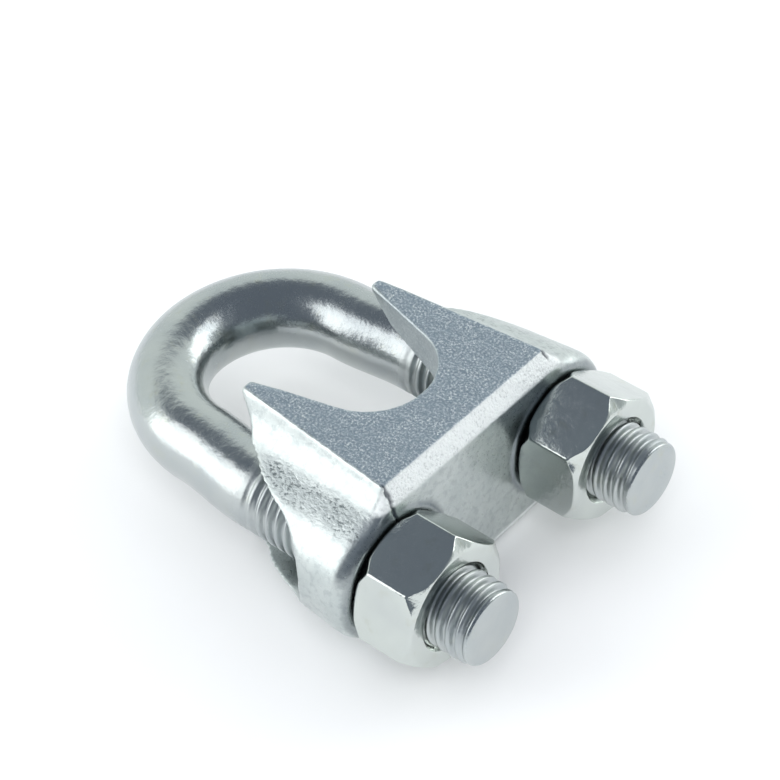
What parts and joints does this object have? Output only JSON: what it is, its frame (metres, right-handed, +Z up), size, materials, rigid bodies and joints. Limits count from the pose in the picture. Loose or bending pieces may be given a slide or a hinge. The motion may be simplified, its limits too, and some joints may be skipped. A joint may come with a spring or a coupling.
{
  "type": "wire rope clip",
  "caption": "U-bolt wire rope clip: a round-rod U-bolt, a cast saddle with a rope groove, and hex nuts that clamp the saddle along the threaded legs.",
  "frame": {"origin": "middle of the footprint, on the plane that the clip lies on", "axes": "+X along the U-bolt's legs towards their threaded ends, +Y across the two legs, +Z up, along the rope"},
  "size_m": [0.0904, 0.0674, 0.034],
  "materials": {
    "u_bolt_zinc": "bright zinc plating on smooth round steel rod, with rolled threads",
    "saddle_cast_zinc": "bright zinc plating over sand-cast malleable iron, grainy on the flat faces",
    "nut_zinc": "bright zinc plating on smooth pressed steel"
  },
  "bodies": {
    "u_bolt": {"u_bolt": "u_bolt_zinc"},
    "saddle": {"saddle": "saddle_cast_zinc"},
    "nut_front": {"nut_front": "nut_zinc"},
    "nut_rear": {"nut_rear": "nut_zinc"}
  },
  "joints": [
    {"name": "saddle_slide", "type": "slide", "parent": "u_bolt", "child": "saddle", "axis": [1, 0, 0], "range_m": [-0.02, 0.007]},
    {"name": "nut_front_spin", "type": "hinge", "parent": "saddle", "child": "nut_front", "pos_m": [0.03175, -0.0205, 0.017], "axis": [1, 0, 0], "range_deg": [-3601, 1261]},
    {"name": "nut_rear_spin", "type": "hinge", "parent": "saddle", "child": "nut_rear", "pos_m": [0.03175, 0.0205, 0.017], "axis": [1, 0, 0], "range_deg": [-3601, 1261]}
  ],
  "couplings": [
    {"joint": "nut_front_spin", "follows": "saddle_slide", "rad_per_m": 3141.6},
    {"joint": "nut_rear_spin", "follows": "saddle_slide", "rad_per_m": 3141.6}
  ]
}
